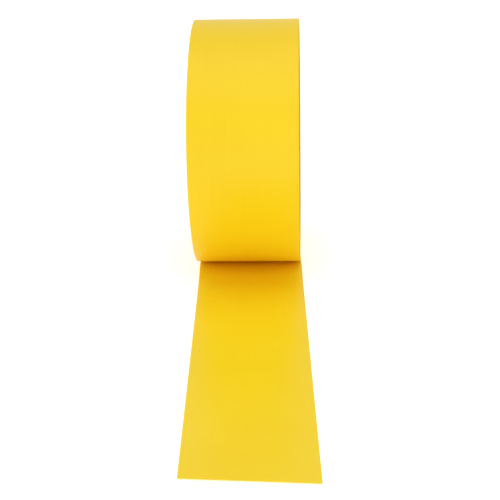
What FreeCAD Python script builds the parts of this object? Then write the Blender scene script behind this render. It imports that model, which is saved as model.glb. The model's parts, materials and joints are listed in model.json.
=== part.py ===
import FreeCAD, Part
import math
import os

import Sketcher

# A roll of 50 mm masking tape on a cardboard core, with a loose tail pulled out in front of it.
#
# Frame: the roll's axis is X and the origin is the centre of the core's bore. The roll stands on
# the table on its outer turn, +Z is up, and the tail runs out along -Y. The tape comes over the top
# of the roll, down the back and out under the bottom, so the tail's sticky face is its upper face.

PARTS_FOLDER = "parts"
MAX_PARTS = 60

# Driving dimensions: alias, value in millimetres or degrees, meaning.
DIMENSIONS = [
    ("tape_width", 50.0, "slit width of the tape and of the core"),
    ("bore_radius", 38.1, "3 inch bore of the core"),
    ("core_radius", 41.5, "outside of the core"),
    ("liner_thickness", 0.45, "smooth paper inside and outside the core"),
    ("board_plies", 5, "strips of board between the liners"),
    ("glue_gap", 0.02, "room for the glue between two plies"),
    ("roll_radius", 59.0, "outside of the wound tape"),
    ("backing_thickness", 0.12, "film of the tape"),
    ("adhesive_thickness", 0.05, "adhesive coat on the film"),
    ("bond_gap", 0.01, "room between the tail's film and its adhesive, taken off the adhesive"),
    ("lap_clearance", 0.05, "between the roll and the part of the tail laid against it"),
    ("nip_angle", 9.0, "how far past the bottom the tail still follows the roll"),
    ("root_angle", 6.0, "how far behind the bottom the tail's solids begin"),
    ("lift_length", 40.0, "from the bottom of the roll to where the tail lies flat"),
    ("lead_length", 44.0, "from the bottom of the roll to the first bend line"),
    ("tail_length", 216.0, "from the bottom of the roll to the middle of the cut end"),
    ("tail_yaw", 2.22, "drift of the tail towards +X"),
    ("cut_slope", 0.094, "slant of the cut end, as a share of the width"),
    ("bend_gap", 0.1, "between two lengths of the tail at a bend line"),
    ("strip_count", 5, "flat lengths of the tail between bend lines"),
    ("trim_depth", 20.0, "height of the block that trims the curved lead to its outline"),
]

SHEET = "Dimensions"
THICKNESS = "(Dimensions.backing_thickness + Dimensions.adhesive_thickness)"
# The tail's outer face is the lowest of the whole object, and it rests on the table.
TAIL_RADIUS = f"(Dimensions.roll_radius + Dimensions.lap_clearance + {THICKNESS})"
# The arch is tangent to the roll and to an equal arc that lands on the table.
ARCH_RADIUS = f"Dimensions.lift_length / (2 * sin(Dimensions.nip_angle * 1 deg)) - {TAIL_RADIUS}"
# Each layer of the tape: name, then the heights of its two faces above the backing's outer face.
LAYERS = [
    ("backing", "0", "Dimensions.backing_thickness"),
    ("adhesive", "(Dimensions.backing_thickness + Dimensions.bond_gap)", THICKNESS),
]
START, END, CENTRE = 1, 2, 3
ORIGIN = (-1, 1)
HORIZONTAL_AXIS = -1

doc = FreeCAD.newDocument("MaskingTapeRoll")


def make_sheet():
    """Write the driving dimensions to the spreadsheet, one alias a row."""
    sheet = doc.addObject("Spreadsheet::Sheet", SHEET)
    for row, (alias, value, meaning) in enumerate(DIMENSIONS, start=1):
        sheet.set(f"A{row}", meaning)
        sheet.set(f"B{row}", str(value))
        sheet.setAlias(f"B{row}", alias)
    doc.recompute()
    return {alias: float(sheet.get(alias)) for alias, _, _ in DIMENSIONS}


size = make_sheet()
tail_radius = (
    size["roll_radius"] + size["lap_clearance"] + size["backing_thickness"] + size["adhesive_thickness"]
)


def new_body(label):
    """Add an empty body under a label of its own."""
    body = doc.addObject("PartDesign::Body", f"Body_{label}")
    body.Label = label
    return body


def new_sketch(body, name, role):
    """Add a sketch on one of the body's own origin planes."""
    plane = next(item for item in body.Origin.OriginFeatures if item.Role == role)
    sketch = body.newObject("Sketcher::SketchObject", name)
    sketch.AttachmentSupport = (plane, [""])
    sketch.MapMode = "FlatFace"
    return sketch


def constrain(sketch, *arguments):
    """Add one geometric constraint."""
    return sketch.addConstraint(Sketcher.Constraint(*arguments))


def dimension(sketch, name, expression, *arguments):
    """Add one dimension under a name and bind it to the spreadsheet."""
    index = constrain(sketch, *arguments)
    sketch.renameConstraint(index, name)
    sketch.setExpression(f"Constraints.{name}", expression)


def pad(body, sketch, length, side):
    """Pad a sketch by an expression, to one side or symmetrically."""
    feature = body.newObject("PartDesign::Pad", "Pad")
    feature.Profile = sketch
    feature.SideType = side
    feature.setExpression("Length", length)
    return feature


def make_ring(label, inner, outer):
    """Make one ring around the roll's axis, as wide as the tape, between two radii."""
    body = new_body(label)
    sketch = new_sketch(body, "Section", "YZ_Plane")
    radii = [("Inner", inner, size["bore_radius"]), ("Outer", outer, size["roll_radius"])]
    for name, expression, first_guess in radii:
        outline = Part.Circle(FreeCAD.Vector(), FreeCAD.Vector(0, 0, 1), first_guess)
        circle = sketch.addGeometry(outline, False)
        constrain(sketch, "Coincident", circle, CENTRE, *ORIGIN)
        dimension(sketch, name, expression, "Radius", circle, first_guess)
    pad(body, sketch, "Dimensions.tape_width", "Symmetric")
    return body


def make_core():
    """Make the core as it is wound: a liner, the plies of board and a second liner, in glue."""
    first = "(Dimensions.bore_radius + Dimensions.liner_thickness)"
    last = "(Dimensions.core_radius - Dimensions.liner_thickness)"
    board = f"(({last} - {first}) / Dimensions.board_plies)"
    rings = [make_ring("core_inner_liner", "Dimensions.bore_radius", first)]
    for ply in range(int(size["board_plies"])):
        inner = f"{first} + {ply} * {board} + Dimensions.glue_gap"
        outer = f"{first} + {ply + 1} * {board}"
        rings.append(make_ring(f"core_board_ply_{ply + 1}", inner, outer))
    rings.append(make_ring("core_outer_liner", f"{last} + Dimensions.glue_gap", "Dimensions.core_radius"))
    return rings


def make_wound_tape():
    """Make the wound tape: the pack of stuck turns, then the two layers of the last turn."""
    pack_inner = "Dimensions.core_radius + Dimensions.glue_gap"
    turn_inner = f"(Dimensions.roll_radius - {THICKNESS})"
    film_inner = "Dimensions.roll_radius - Dimensions.backing_thickness"
    return [
        make_ring("wound_tape_pack", pack_inner, f"{turn_inner} - Dimensions.glue_gap"),
        make_ring("outer_turn_adhesive", turn_inner, film_inner),
        make_ring("outer_turn_backing", film_inner, "Dimensions.roll_radius"),
    ]


def side_arc(centre, radius, first, last):
    """Arc of the side view between two angles, measured from straight down towards the front."""
    points = []
    for angle in (first, 0.5 * (first + last), last):
        turn = math.radians(angle)
        reach = FreeCAD.Vector(-math.sin(turn), -math.cos(turn), 0)
        points.append(FreeCAD.Vector(*centre, 0) + reach * radius)
    return Part.Arc(*points)


def add_lead_face(sketch, name, height):
    """Add one face of the lead to its side view: wrap, arch, landing and flat.

    The face follows the roll to the nip angle, arches clear of the table and lands on an arc equal
    to the roll's own, so the arch's radius follows from the lift length. Returns the indices of the
    first and the last edge.
    """
    nip = size["nip_angle"]
    lift = size["lift_length"]
    flat_end = size["lead_length"] + 0.5 * size["tape_width"]
    root = tail_radius * math.sin(math.radians(size["root_angle"]))
    arch = 0.5 * lift / math.sin(math.radians(nip)) - tail_radius
    arch_depth = (tail_radius + arch) * math.cos(math.radians(nip))
    edges = [
        side_arc((0, 0), tail_radius, -size["root_angle"], nip),
        side_arc((-0.5 * lift, -arch_depth), arch, 180 + nip, 180 - nip),
        side_arc((-lift, 0), tail_radius, -nip, 0),
        Part.LineSegment(
            FreeCAD.Vector(-lift, -tail_radius, 0), FreeCAD.Vector(-flat_end, -tail_radius, 0)
        ),
    ]
    wrap, crest, landing, flat = [sketch.addGeometry(edge, False) for edge in edges]
    constrain(sketch, "Coincident", wrap, CENTRE, *ORIGIN)
    constrain(sketch, "PointOnObject", landing, CENTRE, HORIZONTAL_AXIS)
    constrain(sketch, "Tangent", wrap, START, crest, START)
    constrain(sketch, "Tangent", crest, END, landing, END)
    constrain(sketch, "Tangent", landing, START, flat, START)

    radius = f"({TAIL_RADIUS} - {height})"
    arch_radius = f"{ARCH_RADIUS} + {height}"
    root_reach = f"{radius} * sin(Dimensions.root_angle * 1 deg)"
    flat_reach = "Dimensions.lead_length + Dimensions.tape_width / 2"
    lift_reach = "Dimensions.lift_length"
    dimension(sketch, f"{name}Wrap", radius, "Radius", wrap, tail_radius)
    dimension(sketch, f"{name}Landing", radius, "Radius", landing, tail_radius)
    dimension(sketch, f"{name}Arch", arch_radius, "Radius", crest, arch)
    dimension(sketch, f"{name}Lift", lift_reach, "DistanceX", landing, CENTRE, *ORIGIN, lift)
    dimension(sketch, f"{name}Root", root_reach, "DistanceX", *ORIGIN, wrap, END, root)
    dimension(sketch, f"{name}Flat", flat_reach, "DistanceX", flat, END, *ORIGIN, flat_end)
    return wrap, flat


def make_lead_profile(name, lower, upper):
    """Pad one layer of the lead from its side view, wider than the tape, ready to be trimmed."""
    body = new_body(f"lead_{name}_profile")
    sketch = new_sketch(body, "SideView", "YZ_Plane")
    lower_wrap, lower_flat = add_lead_face(sketch, "Lower", lower)
    upper_wrap, upper_flat = add_lead_face(sketch, "Upper", upper)
    for first, second in ((lower_wrap, upper_wrap), (lower_flat, upper_flat)):
        lift = FreeCAD.Vector(0, size["adhesive_thickness"], 0)
        ends = [sketch.getPoint(first, END), sketch.getPoint(second, END) + lift]
        line = sketch.addGeometry(Part.LineSegment(*ends), False)
        constrain(sketch, "Coincident", line, START, first, END)
        constrain(sketch, "Coincident", line, END, second, END)
    pad(body, sketch, "Dimensions.tape_width * 1.5", "Symmetric")
    return body


def make_outline(label, near, far, slant, bottom, height):
    """Pad a length of the tail from its outline seen from above, turned by the tail's yaw.

    near and far are its ends' distances from the bottom of the roll, slant is how much longer its
    right edge is than its left, bottom is its underside's height above the roll's axis and height is
    its own.
    """
    body = new_body(label)
    body.Placement.Rotation.Axis = FreeCAD.Vector(0, 0, 1)
    body.setExpression("Placement.Rotation.Angle", "Dimensions.tail_yaw")
    sketch = new_sketch(body, "Outline", "XY_Plane")
    sketch.setExpression("AttachmentOffset.Base.z", bottom)
    half = 0.5 * size["tape_width"]
    corners = [(-half, -10), (half, -10), (half, -20), (-half, -20)]
    points = [FreeCAD.Vector(x, y, 0) for x, y in corners]
    sides = []
    for first, second in zip(points, points[1:] + points[:1]):
        sides.append(sketch.addGeometry(Part.LineSegment(first, second), False))
    near_side, right, cut, left = sides
    for first, second in zip(sides, sides[1:] + sides[:1]):
        constrain(sketch, "Coincident", first, END, second, START)
    constrain(sketch, "Horizontal", near_side)
    constrain(sketch, "Vertical", right)
    constrain(sketch, "Vertical", left)
    width = "Dimensions.tape_width"
    right_end = f"{far} + {slant} / 2"
    left_end = f"{far} - {slant} / 2"
    dimension(sketch, "Width", width, "DistanceX", near_side, START, near_side, END, 2 * half)
    dimension(sketch, "LeftEdge", f"{width} / 2", "DistanceX", near_side, START, *ORIGIN, half)
    dimension(sketch, "Near", near, "DistanceY", near_side, START, *ORIGIN, 10)
    dimension(sketch, "RightEnd", right_end, "DistanceY", cut, START, *ORIGIN, 20)
    dimension(sketch, "LeftEnd", left_end, "DistanceY", cut, END, *ORIGIN, 20)
    pad(body, sketch, height, "One side")
    return body


def make_lead():
    """Make the curved lead of the tail, one solid a layer, trimmed to the tail's yawed outline."""
    outline = make_outline(
        "lead_outline",
        "-Dimensions.trim_depth / 2",
        "(Dimensions.lead_length - Dimensions.bend_gap / 2)",
        "0",
        f"-({TAIL_RADIUS} + Dimensions.trim_depth / 2)",
        "Dimensions.trim_depth",
    )
    layers = []
    for name, lower, upper in LAYERS:
        layer = doc.addObject("Part::Common", f"Lead_{name}")
        layer.Label = f"tail_lead_{name}"
        layer.Base = make_lead_profile(name, lower, upper)
        layer.Tool = outline
        layers.append(layer)
    return layers


def make_flat_tail():
    """Make the flat strips of the tail, each two layers thick, the last one with the slanted cut."""
    step = "((Dimensions.tail_length - Dimensions.lead_length) / Dimensions.strip_count)"
    count = int(size["strip_count"])
    strips = []
    for number in range(1, count + 1):
        near = f"(Dimensions.lead_length + {number - 1} * {step} + Dimensions.bend_gap / 2)"
        far = f"(Dimensions.lead_length + {number} * {step} - Dimensions.bend_gap / 2)"
        slant = "0"
        if number == count:
            far = "Dimensions.tail_length"
            slant = "Dimensions.cut_slope * Dimensions.tape_width"
        for layer, lower, upper in LAYERS:
            label = f"tail_strip_{number}_{layer}"
            bottom = f"{lower} - {TAIL_RADIUS}"
            strips.append(make_outline(label, near, far, slant, bottom, f"{upper} - {lower}"))
    return strips


def check(nodes):
    """Stop if any object failed to recompute or any sub-part isn't one valid, closed solid."""
    for item in doc.Objects:
        if {"Invalid", "Error"} & set(item.State):
            raise RuntimeError(f"{item.Label} failed: {item.State}")
        if item.isDerivedFrom("Sketcher::SketchObject") and item.solve() != 0:
            raise RuntimeError(f"{item.Label} of {item.getParentGeoFeatureGroup().Label} doesn't solve")
    for node in nodes:
        shape = node.Shape
        if shape.isNull() or not shape.isValid() or len(shape.Solids) != 1 or shape.Volume <= 0:
            raise RuntimeError(f"{node.Label} isn't one valid solid")
    if len({node.Label for node in nodes}) != len(nodes) or len(nodes) > MAX_PARTS:
        raise RuntimeError("names must differ, and there is a limit on how many parts there are")


def write(nodes):
    """Write one STEP file a sub-part, named after its label."""
    os.makedirs(PARTS_FOLDER, exist_ok=True)
    for node in nodes:
        node.Shape.exportStep(os.path.join(PARTS_FOLDER, f"{node.Label}.step"))
        box = node.Shape.BoundBox
        extent = f"{box.XLength:.2f} x {box.YLength:.2f} x {box.ZLength:.2f} mm"
        print(f"{node.Label}: {extent}, {node.Shape.Volume:.1f} mm3")


nodes = make_core() + make_wound_tape() + make_lead() + make_flat_tail()
doc.recompute()
check(nodes)
write(nodes)
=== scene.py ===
"""A roll of smooth yellow masking tape on a cardboard core, with its loose tail run out in front.

Everything on the object is a strip that somebody wound or laid: the paper and board of the core, the
tape itself and its tail. So one tool, the slab, is bent into each of them.
"""

import json
import logging
import math
import random
from dataclasses import dataclass, field
from enum import Enum
from typing import Any, Callable

import bmesh
import bpy
from mathutils import Euler, Matrix, Vector


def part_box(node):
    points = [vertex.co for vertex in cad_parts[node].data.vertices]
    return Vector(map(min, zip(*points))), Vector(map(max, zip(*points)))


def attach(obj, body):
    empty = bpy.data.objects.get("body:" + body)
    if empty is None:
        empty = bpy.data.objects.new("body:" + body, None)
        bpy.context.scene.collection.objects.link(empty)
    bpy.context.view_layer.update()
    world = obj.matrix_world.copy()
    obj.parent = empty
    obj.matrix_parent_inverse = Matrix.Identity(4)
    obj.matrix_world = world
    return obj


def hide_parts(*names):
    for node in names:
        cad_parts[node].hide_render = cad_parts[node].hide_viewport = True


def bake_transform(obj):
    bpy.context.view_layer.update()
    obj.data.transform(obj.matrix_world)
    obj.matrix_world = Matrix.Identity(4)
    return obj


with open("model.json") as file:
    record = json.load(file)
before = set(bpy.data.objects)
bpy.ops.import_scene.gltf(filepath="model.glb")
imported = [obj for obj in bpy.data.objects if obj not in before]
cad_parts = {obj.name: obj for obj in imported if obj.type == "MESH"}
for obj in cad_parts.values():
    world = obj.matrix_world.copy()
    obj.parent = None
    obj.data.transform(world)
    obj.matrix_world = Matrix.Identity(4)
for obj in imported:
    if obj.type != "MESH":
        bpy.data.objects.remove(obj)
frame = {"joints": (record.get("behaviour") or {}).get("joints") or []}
log = logging.getLogger("tape_roll")
MM = 0.001


# ---------------------------------------------------------------- shader tools


class Value:
    """A number on a shader socket, which takes part in plain arithmetic."""

    def __init__(self, graph: "Graph", socket: bpy.types.NodeSocket) -> None:
        """Wrap one output socket of a graph."""
        self.graph = graph
        self.socket = socket

    def _math(self, operation: str, first: Any, second: Any) -> "Value":
        """Add one Math node.

        Args:
            operation: The Math node's operation.
            first: A value or a number.
            second: A value or a number.

        Returns:
            The node's result.
        """
        return self.graph.node("ShaderNodeMath", {"operation": operation}, {0: first, 1: second})

    def __add__(self, other: Any) -> "Value":
        """Sum."""
        return self._math("ADD", self, other)

    __radd__ = __add__

    def __sub__(self, other: Any) -> "Value":
        """Difference."""
        return self._math("SUBTRACT", self, other)

    def __rsub__(self, other: Any) -> "Value":
        """Difference from a number on the left."""
        return self._math("SUBTRACT", other, self)

    def __mul__(self, other: Any) -> "Value":
        """Product."""
        return self._math("MULTIPLY", self, other)

    __rmul__ = __mul__


class Graph:
    """The node graph of one material or of the studio's surround, written as expressions."""

    def __init__(self, owner: bpy.types.Material | bpy.types.World) -> None:
        """Start an empty graph in a material or a world."""
        self.owner = owner
        owner.use_nodes = True
        self.tree = owner.node_tree
        self.tree.nodes.clear()

    def node(
        self,
        kind: str,
        settings: dict[str, Any] | None = None,
        sockets: dict[Any, Any] | None = None,
        output: int | str = 0,
    ) -> Value:
        """Add one node.

        Args:
            kind: The node's type.
            settings: Its properties, set before its sockets.
            sockets: Values, numbers or colours for its inputs, by name or place.
            output: The output that is wanted, by name or place.

        Returns:
            That output.
        """
        made = self.tree.nodes.new(kind)
        for name, setting in (settings or {}).items():
            setattr(made, name, setting)
        for name, value in (sockets or {}).items():
            if isinstance(value, Value):
                self.tree.links.new(value.socket, made.inputs[name])
            else:
                made.inputs[name].default_value = value
        return Value(self, made.outputs[output] if made.outputs else None)

    def place(self) -> Value:
        """The point in the object's own coordinates, counted from the middle of the roll."""
        return self.node("ShaderNodeTexCoord", output="Object")

    def stretch(self, point: Value, factors: tuple[float, float, float]) -> Value:
        """Scale a point along the three axes."""
        settings = {"operation": "MULTIPLY"}
        return self.node("ShaderNodeVectorMath", settings, {0: point, 1: factors})

    def noise(self, point: Value, scale: float, detail: float = 2.0, rough: float = 0.5) -> Value:
        """Smooth noise about one half.

        Args:
            point: Where it is read.
            scale: Lumps in a metre of the point's own scale.
            detail: How many finer octaves are added.
            rough: How strong those are.

        Returns:
            The noise, from 0 to 1.
        """
        sockets = {"Vector": point, "Scale": scale, "Detail": detail, "Roughness": rough}
        return self.node("ShaderNodeTexNoise", {}, sockets, "Fac")

    def spread(self, value: Value, low: float, high: float) -> Value:
        """Stretch the range low to high to 0 to 1, and hold what is outside."""
        sockets = {"Value": value, "From Min": low, "From Max": high}
        return self.node("ShaderNodeMapRange", {"clamp": True}, sockets)

    def blend(self, share: Value, first: Any, second: Any) -> Value:
        """Mix two colours by a share."""
        settings = {"data_type": "RGBA"}
        return self.node("ShaderNodeMix", settings, {0: share, 6: first, 7: second}, 2)

    def finish(self, sockets: dict[str, Any]) -> bpy.types.Material:
        """Close the graph with a Principled shader.

        Args:
            sockets: The shader's inputs by name.

        Returns:
            The finished material.
        """
        shader = self.node("ShaderNodeBsdfPrincipled", {}, sockets)
        self.node("ShaderNodeOutputMaterial", {}, {"Surface": shader})
        return self.owner

    def bump(self, height: Value, strength: float, depth: float) -> Value:
        """Turn a height into a normal; depth is in metres."""
        sockets = {"Height": height, "Strength": strength, "Distance": depth}
        return self.node("ShaderNodeBump", {}, sockets, "Normal")


# ---------------------------------------------------------------- finishes

Colour = tuple[float, float, float, float]


@dataclass(frozen=True)
class FilmFinish:
    """Satin film: even colour, faint streaks along the tape and a soft, fine unevenness."""

    name: str = "satin_film"
    deep: Colour = (0.900, 0.612, 0.003, 1.0)
    pale: Colour = (0.930, 0.652, 0.007, 1.0)
    roughness: float = 0.38
    specular: float = 0.30
    bump: float = 0.10
    cloud_scale: float = 22.0
    streak_scale: float = 1400.0
    grain_scale: float = 2600.0

    def build(self) -> bpy.types.Material:
        """Make the material."""
        graph = Graph(bpy.data.materials.new(self.name))
        place = graph.place()
        cloud = graph.noise(place, self.cloud_scale, 3.0)
        streak = graph.noise(graph.stretch(place, (1.0, 0.02, 0.02)), self.streak_scale, 2.0)
        grain = graph.noise(place, self.grain_scale, 2.0)
        share = graph.spread(0.7 * cloud + 0.3 * streak, 0.3, 0.7)
        height = 0.5 * grain + 0.5 * streak
        return graph.finish(
            {
                "Base Color": graph.blend(share, self.deep, self.pale),
                "Roughness": self.roughness + 0.10 * (cloud - 0.5) + 0.06 * (grain - 0.5),
                "Specular IOR Level": self.specular,
                "Normal": graph.bump(height, self.bump, 0.05 * MM),
            }
        )


@dataclass(frozen=True)
class StickyFinish:
    """Adhesive coat over the film: a little paler and wetter, with the mottle of a coated layer."""

    name: str = "adhesive_coat"
    deep: Colour = (0.940, 0.655, 0.004, 1.0)
    pale: Colour = (0.965, 0.700, 0.012, 1.0)
    roughness: float = 0.34
    specular: float = 0.40
    bump: float = 0.12
    cloud_scale: float = 16.0
    coat_scale: float = 420.0

    def build(self) -> bpy.types.Material:
        """Make the material."""
        graph = Graph(bpy.data.materials.new(self.name))
        place = graph.place()
        cloud = graph.noise(place, self.cloud_scale, 3.0)
        coat = graph.noise(graph.stretch(place, (1.0, 0.35, 1.0)), self.coat_scale, 3.0)
        share = graph.spread(0.75 * cloud + 0.25 * coat, 0.32, 0.68)
        return graph.finish(
            {
                "Base Color": graph.blend(share, self.deep, self.pale),
                "Roughness": self.roughness + 0.12 * (coat - 0.5),
                "Specular IOR Level": self.specular,
                "Normal": graph.bump(coat, self.bump, 0.05 * MM),
            }
        )


@dataclass(frozen=True)
class SlitEdgeFinish:
    """The slit edges of many turns: deeper than the face, each turn a shade of its own."""

    name: str = "slit_edges"
    deep: Colour = (0.660, 0.380, 0.004, 1.0)
    pale: Colour = (0.880, 0.590, 0.012, 1.0)
    dust: Colour = (0.560, 0.400, 0.120, 1.0)
    roughness: float = 0.50
    specular: float = 0.30
    bump: float = 0.35
    turn_scale: float = 3200.0
    band_scale: float = 420.0
    cloud_scale: float = 60.0
    speck_scale: float = 900.0

    def build(self) -> bpy.types.Material:
        """Make the material."""
        graph = Graph(bpy.data.materials.new(self.name))
        place = graph.place()
        flat = graph.stretch(place, (0.0, 1.0, 1.0))
        radius = graph.node("ShaderNodeVectorMath", {"operation": "LENGTH"}, {0: flat}, "Value")
        ring_place = graph.node("ShaderNodeCombineXYZ", {}, {"X": radius})
        turns = graph.noise(ring_place, self.turn_scale, 2.0, 0.6)
        bands = graph.noise(ring_place, self.band_scale, 2.0)
        cloud = graph.noise(place, self.cloud_scale, 4.0)
        share = graph.spread(0.45 * turns + 0.35 * bands + 0.20 * cloud, 0.36, 0.66)
        colour = graph.blend(share, self.deep, self.pale)
        specks = graph.spread(graph.noise(place, self.speck_scale, 3.0, 0.7), 0.66, 0.80)
        return graph.finish(
            {
                "Base Color": graph.blend(0.35 * specks, colour, self.dust),
                "Roughness": self.roughness + 0.15 * (turns - 0.5),
                "Specular IOR Level": self.specular,
                "Normal": graph.bump(turns, self.bump, 0.08 * MM),
            }
        )


@dataclass(frozen=True)
class PaperFinish:
    """Paper and board: fibres, flecks and a matt, slightly furry face."""

    name: str
    deep: Colour
    pale: Colour
    fleck: Colour
    fibre_bump: float = 0.5
    roughness: float = 0.82
    specular: float = 0.2
    cloud_scale: float = 70.0
    fibre_scale: float = 1500.0
    fleck_scale: float = 700.0

    def build(self) -> bpy.types.Material:
        """Make the material."""
        graph = Graph(bpy.data.materials.new(self.name))
        place = graph.place()
        cloud = graph.noise(place, self.cloud_scale, 4.0)
        fibre = graph.noise(graph.stretch(place, (0.35, 1.0, 1.0)), self.fibre_scale, 4.0, 0.65)
        flecks = graph.spread(graph.noise(place, self.fleck_scale, 2.0, 0.8), 0.64, 0.72)
        share = graph.spread(0.5 * cloud + 0.5 * fibre, 0.35, 0.65)
        colour = graph.blend(share, self.deep, self.pale)
        return graph.finish(
            {
                "Base Color": graph.blend(0.6 * flecks, colour, self.fleck),
                "Roughness": self.roughness + 0.15 * (fibre - 0.5),
                "Specular IOR Level": self.specular,
                "Normal": graph.bump(fibre, self.fibre_bump, 0.10 * MM),
            }
        )


class Finish(Enum):
    """The finishes of the roll."""

    FILM = FilmFinish()
    ADHESIVE = StickyFinish()
    EDGES = SlitEdgeFinish()
    LINER = PaperFinish(
        "kraft_liner", (0.42, 0.30, 0.18, 1.0), (0.58, 0.44, 0.28, 1.0), (0.26, 0.17, 0.10, 1.0)
    )
    BOARD = PaperFinish(
        "grey_board", (0.27, 0.22, 0.17, 1.0), (0.42, 0.35, 0.27, 1.0), (0.55, 0.48, 0.38, 1.0), 0.8
    )
    BROWN_BOARD = PaperFinish(
        "brown_board", (0.17, 0.12, 0.08, 1.0), (0.30, 0.22, 0.15, 1.0), (0.46, 0.38, 0.28, 1.0), 0.8
    )


_materials: dict[Finish, bpy.types.Material] = {}


def material(finish: Finish) -> bpy.types.Material:
    """Return a finish's material, made once."""
    if finish not in _materials:
        _materials[finish] = finish.value.build()
    return _materials[finish]


# ---------------------------------------------------------------- shaping tools

Bend = Callable[[float, float, float], Vector]


def slab(name: str, across: int, along: int, bend: Bend, sharp_degrees: float = 40.0) -> bpy.types.Object:
    """Make one closed strip: a flat slab that is bent into its place.

    Args:
        name: The piece's name.
        across: Faces over the strip's width.
        along: Faces over its length.
        bend: Gives the place of a point of the slab from its shares of the width, the length and
            the thickness, each from 0 to 1.
        sharp_degrees: Edges that turn more than this stay crisp.

    Returns:
        The piece.
    """
    mesh = bmesh.new()
    bmesh.ops.create_grid(mesh, x_segments=across, y_segments=along, size=0.5)
    bmesh.ops.translate(mesh, verts=mesh.verts, vec=(0.5, 0.5, 0.0))
    raised = bmesh.ops.extrude_face_region(mesh, geom=mesh.faces[:], use_keep_orig=True)["geom"]
    top = [item for item in raised if isinstance(item, bmesh.types.BMVert)]
    bmesh.ops.translate(mesh, verts=top, vec=(0.0, 0.0, 1.0))
    for vert in mesh.verts:
        vert.co = bend(*vert.co)
    bmesh.ops.recalc_face_normals(mesh, faces=mesh.faces[:])
    # On a thin coil the recalculation can turn every face inwards, and the volume is then negative.
    if mesh.calc_volume(signed=True) < 0.0:
        bmesh.ops.reverse_faces(mesh, faces=mesh.faces[:])
    data = bpy.data.meshes.new(name)
    mesh.to_mesh(data)
    mesh.free()
    data.shade_smooth()
    data.set_sharp_from_angle(angle=math.radians(sharp_degrees))
    piece = bpy.data.objects.new(name, data)
    bpy.context.scene.collection.objects.link(piece)
    return piece


def dress(piece: bpy.types.Object, finish: Finish, slot: str, *nodes: str) -> None:
    """Give a piece its finish, and hide the CAD nodes that it stands for."""
    piece.data.materials.append(material(finish))
    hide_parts(*nodes)


def round_point(x: float, radius: float, turned: float) -> Vector:
    """Point at a radius from the roll's axis, turned from straight down towards the front."""
    return Vector((x, -radius * math.sin(turned), -radius * math.cos(turned)))


def outer_radius(node: str) -> float:
    """Outer radius of a ring of the CAD model."""
    low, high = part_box(node)
    return 0.5 * (high.z - low.z)


# ---------------------------------------------------------------- core


@dataclass
class Core:
    """The paper tube: liners and plies of board, each a strip wound on a slant with a butt seam."""

    body: str = "roll"
    width: float = 2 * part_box("core_inner_liner")[1].x
    bore: float = 38.1 * MM
    rise: float = 138.0 * MM
    seam: float = 0.35 * MM
    glue_line: float = 0.02 * MM
    plies: int = 5
    first_phase: float = 0.18
    phase_step: float = 0.37
    across: int = 24
    around: int = 144
    pieces: list[bpy.types.Object] = field(default_factory=list)

    def wind(self, name: str, inner: float, outer: float, phase: float) -> bpy.types.Object:
        """Wind one strip on a slant, so that its two edges meet in a seam.

        Args:
            name: The piece's name.
            inner: Inner radius.
            outer: Outer radius.
            phase: Where the seam crosses the middle of the tube, in turns.

        Returns:
            The piece.
        """
        share = 1.0 - self.seam / (2 * math.pi * inner)

        def bend(u: float, v: float, w: float) -> Vector:
            """Place a point of the strip on the tube."""
            x = (u - 0.5) * self.width
            turned = 2 * math.pi * (phase + v * share + x / self.rise)
            return round_point(x, inner + w * (outer - inner), turned)

        return slab(name, self.across, self.around, bend)

    def build(self) -> list[bpy.types.Object]:
        """Wind every layer, from the bore outwards."""
        layers = [("bore_liner", "core_inner_liner", Finish.LINER, "core_liner")]
        for ply in range(1, self.plies + 1):
            finish = Finish.BROWN_BOARD if ply % 2 else Finish.BOARD
            layers.append((f"board_strip_{ply}", f"core_board_ply_{ply}", finish, "core_board"))
        layers.append(("winding_liner", "core_outer_liner", Finish.LINER, "core_liner"))
        inner = self.bore
        for count, (name, node, finish, slot) in enumerate(layers):
            outer = outer_radius(node)
            piece = self.wind(name, inner, outer, self.first_phase + self.phase_step * count)
            dress(piece, finish, slot, node)
            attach(piece, self.body)
            self.pieces.append(piece)
            inner = outer + self.glue_line
        return self.pieces


# ---------------------------------------------------------------- wound tape


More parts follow.
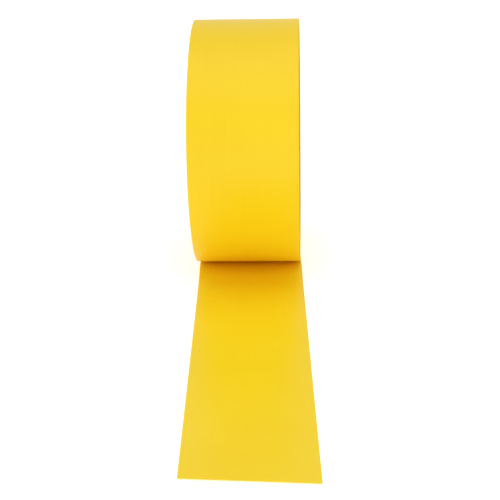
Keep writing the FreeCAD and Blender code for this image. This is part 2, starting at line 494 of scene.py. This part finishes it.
@dataclass
class WoundTape:
    """The tape on the core: one strip wound a hundred times, and its last, visible turn."""

    body: str = "roll"
    width: float = 2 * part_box("wound_tape_pack")[1].x
    start_radius: float = 41.52 * MM
    end_radius: float = outer_radius("outer_turn_backing")
    turns: int = 102
    adhesive: float = 0.05 * MM
    squeeze: float = 0.012 * MM
    wander: float = 0.15 * MM
    memory: float = 0.72
    jump: float = 0.55
    slow_share: float = 0.6
    slow_rate: float = 0.19
    slow_start: float = 0.8
    fade_turns: float = 8.0
    steps: int = 96
    across: int = 10
    seed: int = 7
    drift: list[float] = field(default_factory=list)

    def __post_init__(self) -> None:
        """Draw how far each turn's edge wanders from the last."""
        chance = random.Random(self.seed)
        place = 0.0
        for turn in range(self.turns + 2):
            place = self.memory * place + chance.gauss(0.0, self.jump * self.wander)
            swing = math.sin(self.slow_rate * turn + self.slow_start)
            slow = self.slow_share * self.wander * swing
            fade = min(1.0, (self.turns - turn) / self.fade_turns) if turn < self.turns else 0.0
            self.drift.append((place + slow) * max(0.0, fade))

    @property
    def pitch(self) -> float:
        """Growth of the radius in one turn, which is the tape's thickness."""
        return (self.end_radius - self.start_radius) / (self.turns + 1)

    def wind(
        self, name: str, first: int, last: int, low: float, high: float, steps: int
    ) -> bpy.types.Object:
        """Wind a stretch of the tape as one unbroken strip.

        Args:
            name: The piece's name.
            first: Turn at which it begins, counted from the core.
            last: Turn at which it ends.
            low: Its inner face's height above the turn's inner face.
            high: Its outer face's height.
            steps: Faces in one turn.

        Returns:
            The piece.
        """

        def bend(u: float, v: float, w: float) -> Vector:
            """Place a point of the strip on the spiral."""
            turn = first + v * (last - first)
            whole = min(int(turn), self.turns)
            share = turn - whole
            drift = (1 - share) * self.drift[whole] + share * self.drift[whole + 1]
            radius = self.start_radius + turn * self.pitch + low + w * (high - low)
            return round_point((u - 0.5) * self.width + drift, radius, 2 * math.pi * turn)

        across = 1 if last - first > 1 else self.across
        return slab(name, across, (last - first) * steps, bend)

    def build(self) -> list[bpy.types.Object]:
        """Wind the stuck turns, then the two layers of the last turn."""
        last = self.turns - 1
        pack = self.wind("wound_turns", 0, last, 0.0, self.pitch - self.squeeze, self.steps)
        dress(pack, Finish.EDGES, "wound_tape", "wound_tape_pack")
        coat = self.wind("last_turn_coat", last, self.turns, 0.0, self.adhesive, 2 * self.steps)
        dress(coat, Finish.ADHESIVE, "adhesive", "outer_turn_adhesive")
        film = self.wind("last_turn_film", last, self.turns, self.adhesive, self.pitch, 2 * self.steps)
        dress(film, Finish.FILM, "film_backing", "outer_turn_backing")
        for piece in (pack, coat, film):
            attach(piece, self.body)
        return [pack, coat, film]


# ---------------------------------------------------------------- loose tail


@dataclass
class Layer:
    """One layer of the tail: its name, its CAD name, its faces' heights, its finish and its slot."""

    name: str
    node: str
    low: float
    high: float
    finish: Finish
    slot: str


@dataclass
class LooseTail:
    """The tail: film with its sticky face up, from the roll's underside to the slanted cut."""

    table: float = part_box("tail_lead_backing")[0].z
    width: float = 2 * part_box("wound_tape_pack")[1].x
    nip: float = math.radians(9.0)
    root: float = math.radians(6.0)
    lift: float = 40.0 * MM
    length: float = 216.0 * MM
    cut_slope: float = 0.094
    first_seam: float = 34.0 * MM
    soft_zone: float = 16.0 * MM
    ripple: float = 0.10 * MM
    ripple_run: float = 11 * MM
    ripple_slant: float = 17 * MM
    ripple_side: float = 9 * MM
    ripple_start: float = 0.7
    settle_start: float = 1.2
    across: int = 20
    along: int = 40
    layers: tuple[Layer, ...] = (
        Layer("film", "backing", 0.0, 0.12 * MM, Finish.FILM, "film_backing"),
        Layer("coat", "adhesive", 0.12 * MM, 0.17 * MM, Finish.ADHESIVE, "adhesive"),
    )

    def __post_init__(self) -> None:
        """Read the bend lines from the joints."""
        self.bends: list[dict[str, Any]] = [
            joint for joint in frame["joints"] if joint["name"].startswith("tail_bend")
        ]
        places = [Vector(joint["pos_m"][:2]) for joint in self.bends]
        self.lines: list[float] = [place.length for place in places]
        self.yaw: float = math.atan2(places[-1].x, -places[-1].y)

    def profile(self, reach: float) -> tuple[float, float]:
        """Height and slope of the strip's lower face.

        Args:
            reach: Distance in front of the roll's lowest line.

        Returns:
            Height above the table, and slope as an angle, positive where it climbs.
        """
        wrap = -self.table
        arch = 0.5 * self.lift / math.sin(self.nip) - wrap
        turn = wrap * math.sin(self.nip)
        if reach < turn:
            slope = math.asin(reach / wrap)
            return wrap * (1 - math.cos(slope)), slope
        if reach < self.lift - turn:
            slope = -math.asin((reach - 0.5 * self.lift) / arch)
            foot = wrap * (1 - math.cos(self.nip))
            return foot + arch * (math.cos(slope) - math.cos(self.nip)), slope
        if reach < self.lift:
            slope = -math.asin((self.lift - reach) / wrap)
            return wrap * (1 - math.cos(slope)), slope
        return 0.0, 0.0

    def lie(self, side: float, run: float, height: float) -> Vector:
        """Place a point of the strip.

        Args:
            side: Distance from the strip's middle line, to the right.
            run: Distance along it from the roll's lowest line.
            height: Height in the strip's thickness.

        Returns:
            The point in the row's frame.
        """
        x = side * math.cos(self.yaw) + run * math.sin(self.yaw)
        reach = run * math.cos(self.yaw) - side * math.sin(self.yaw)
        lift, slope = self.profile(reach)
        settle = min(1.0, max(0.0, (run - self.settle_start * self.lift) / self.lift))
        wave = math.sin(run / self.ripple_run + side / self.ripple_slant)
        wave *= math.sin(side / self.ripple_side + self.ripple_start)
        lift += self.ripple * settle * (0.5 + 0.5 * wave)
        forward = reach - height * math.sin(slope)
        return Vector((x, -forward, self.table + lift + height * math.cos(slope)))

    def cut(
        self, name: str, layer: Layer, near: tuple[float, float], far: tuple[float, float]
    ) -> bpy.types.Object:
        """Make one length of one layer.

        Args:
            name: The piece's name.
            layer: The layer.
            near: Its near end: distance along the tail, and slant.
            far: Its far end, in the same way.

        Returns:
            The piece.
        """

        def bend(u: float, v: float, w: float) -> Vector:
            """Place a point of this length."""
            side = (u - 0.5) * self.width
            slant = (1 - v) * near[1] + v * far[1]
            run = (1 - v) * near[0] + v * far[0] + slant * side
            return self.lie(side, run, layer.low + w * (layer.high - layer.low))

        return slab(name, self.across, self.along, bend)

    @staticmethod
    def body_of(place: int) -> str:
        """Name of the tail's body at a place, counted from the roll."""
        return f"tail_strip_{place}" if place else "tail_lead"

    def ends(self) -> list[tuple[float, float]]:
        """Ends of the lengths along the tail, each a distance and a slant."""
        root = -math.sin(self.root) * -self.table / math.cos(self.yaw)
        middles = [0.5 * (a + b) for a, b in zip(self.lines, self.lines[1:])]
        cuts = [self.first_seam, *middles, self.length]
        slants = [0.0] * (len(cuts) - 1) + [self.cut_slope]
        return [(root, math.tan(self.yaw)), *zip(cuts, slants)]

    def build(self) -> list[bpy.types.Object]:
        """Make every length of both layers; fix the two nearest to their body and bake the rest where
        they lie.
        """
        made = []
        ends = self.ends()
        for place, (near, far) in enumerate(zip(ends, ends[1:])):
            pair = []
            for layer in self.layers:
                piece = self.cut(f"{self.body_of(place)}_{layer.name}", layer, near, far)
                dress(piece, layer.finish, layer.slot, f"{self.body_of(place)}_{layer.node}")
                self.hang(piece, place)
                pair.append(piece)
            far[0] - near[0]
            made += pair
        return made

    def hang(self, piece: bpy.types.Object, place: int) -> None:
        """Fix the nearest length to its body; any other length only has its transform baked where it
        lies.
        """
        if place == 0:
            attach(piece, self.body_of(place))
            return
        joint = self.bends[place - 1]
        middle = Vector(joint["pos_m"])
        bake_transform(piece)


# ---------------------------------------------------------------- studio


@dataclass(frozen=True)
class SoftLight:
    """One square soft light that faces the roll: azimuth and height are angles, negative raises it."""

    name: str
    azimuth: float
    power: float
    height: float = -math.radians(15.0)
    distance: float = 1.6
    size: float = 0.8


@dataclass
class Studio:
    """Plain pale floor, soft light from all round and the camera."""

    table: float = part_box("tail_lead_backing")[0].z
    floor_gap: float = 0.4 * MM
    floor_half: float = 6.0
    floor_faces: int = 8
    diffuse_bounces: int = 12
    floor_glow: float = 0.40
    wall_light: float = 0.90
    ceiling_light: float = 0.70
    wall_top: float = 0.12
    ceiling_edge: float = 0.30
    lights: tuple[SoftLight, ...] = (
        SoftLight("left_light", -math.radians(60.0), 1.0, -math.radians(22.0)),
        SoftLight("right_light", math.radians(60.0), 1.6, -math.radians(22.0)),
        SoftLight("front_light", math.radians(8.0), 0.7, -math.radians(10.0)),
        SoftLight("top_light", 0.0, 7.0, -math.radians(80.0), size=1.6),
    )
    lens: float = 88.1
    sensor_width: float = 36.0
    camera_place: tuple[float, float, float] = (28.4 * MM, -578.3 * MM, 164.5 * MM)
    camera_pitch: float = math.radians(20.94)
    camera_yaw: float = math.radians(2.858)
    camera_roll: float = math.radians(1.234)

    def build_floor(self) -> bpy.types.Object:
        """Lay the floor, a white board that is lit from behind as well."""
        mesh = bmesh.new()
        faces = self.floor_faces
        bmesh.ops.create_grid(mesh, x_segments=faces, y_segments=faces, size=self.floor_half)
        bmesh.ops.translate(mesh, verts=mesh.verts, vec=(0, 0, self.table - self.floor_gap))
        data = bpy.data.meshes.new("floor")
        mesh.to_mesh(data)
        mesh.free()
        graph = Graph(bpy.data.materials.new("pale_floor"))
        finish = graph.finish(
            {
                "Base Color": (0.9, 0.9, 0.9, 1.0),
                "Roughness": 0.9,
                "Emission Color": (1.0, 1.0, 1.0, 1.0),
                "Emission Strength": self.floor_glow,
            }
        )
        data.materials.append(finish)
        floor = bpy.data.objects.new("floor", data)
        bpy.context.scene.collection.objects.link(floor)
        return floor

    def build_surround(self) -> None:
        """Light the room from all round, more from the walls than from above."""
        world = bpy.data.worlds.new("studio")
        graph = Graph(world)
        direction = graph.node("ShaderNodeTexCoord", output="Generated")
        height = graph.node("ShaderNodeSeparateXYZ", {}, {0: direction}, "Z")
        rise = graph.spread(height, self.wall_top, self.ceiling_edge)
        glow = self.wall_light + (self.ceiling_light - self.wall_light) * rise
        sockets = {"Color": (1.0, 1.0, 1.0, 1.0), "Strength": glow}
        shader = graph.node("ShaderNodeBackground", {}, sockets)
        graph.node("ShaderNodeOutputWorld", {}, {"Surface": shader})
        bpy.context.scene.world = world

    def build_lights(self) -> None:
        """Hang the soft lights; all but the top one are low, so that they reach in under the roll."""
        for light in self.lights:
            data = bpy.data.lights.new(light.name, "AREA")
            data.size = light.size
            data.energy = light.power
            turn = Euler((light.height, 0.0, light.azimuth)).to_matrix()
            place = turn @ Vector((0, -light.distance, 0))
            lamp = bpy.data.objects.new(light.name, data)
            lamp.location = place
            lamp.rotation_euler = (-place).to_track_quat("-Z", "Y").to_euler()
            bpy.context.scene.collection.objects.link(lamp)

    def build_camera(self) -> None:
        """Set the camera in front of the roll, above it and a little to the right."""
        data = bpy.data.cameras.new("camera")
        data.lens = self.lens
        data.sensor_width = self.sensor_width
        data.clip_start = 0.01
        camera = bpy.data.objects.new("camera", data)
        yaw = Matrix.Rotation(self.camera_yaw, 4, "Z")
        tilt = Matrix.Rotation(math.radians(90) - self.camera_pitch, 4, "X")
        roll = Matrix.Rotation(-self.camera_roll, 4, "Z")
        camera.matrix_world = Matrix.Translation(self.camera_place) @ yaw @ tilt @ roll
        bpy.context.scene.collection.objects.link(camera)
        bpy.context.scene.camera = camera

    def build(self) -> None:
        """Set up the whole studio."""
        self.build_floor()
        self.build_surround()
        self.build_lights()
        self.build_camera()
        bpy.context.scene.view_settings.view_transform = "Standard"
        bpy.context.scene.cycles.diffuse_bounces = self.diffuse_bounces


def main() -> None:
    """Build the roll piece by piece, then the studio round it."""
    logging.basicConfig(level=logging.INFO, format="%(name)s: %(message)s")
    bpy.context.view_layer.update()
    for assembly in (Core(), WoundTape(), LooseTail()):
        for piece in assembly.build():
            log.info("%s: %d faces", piece.name, len(piece.data.polygons))
    Studio().build()


if __name__ == "__main__":
    main()
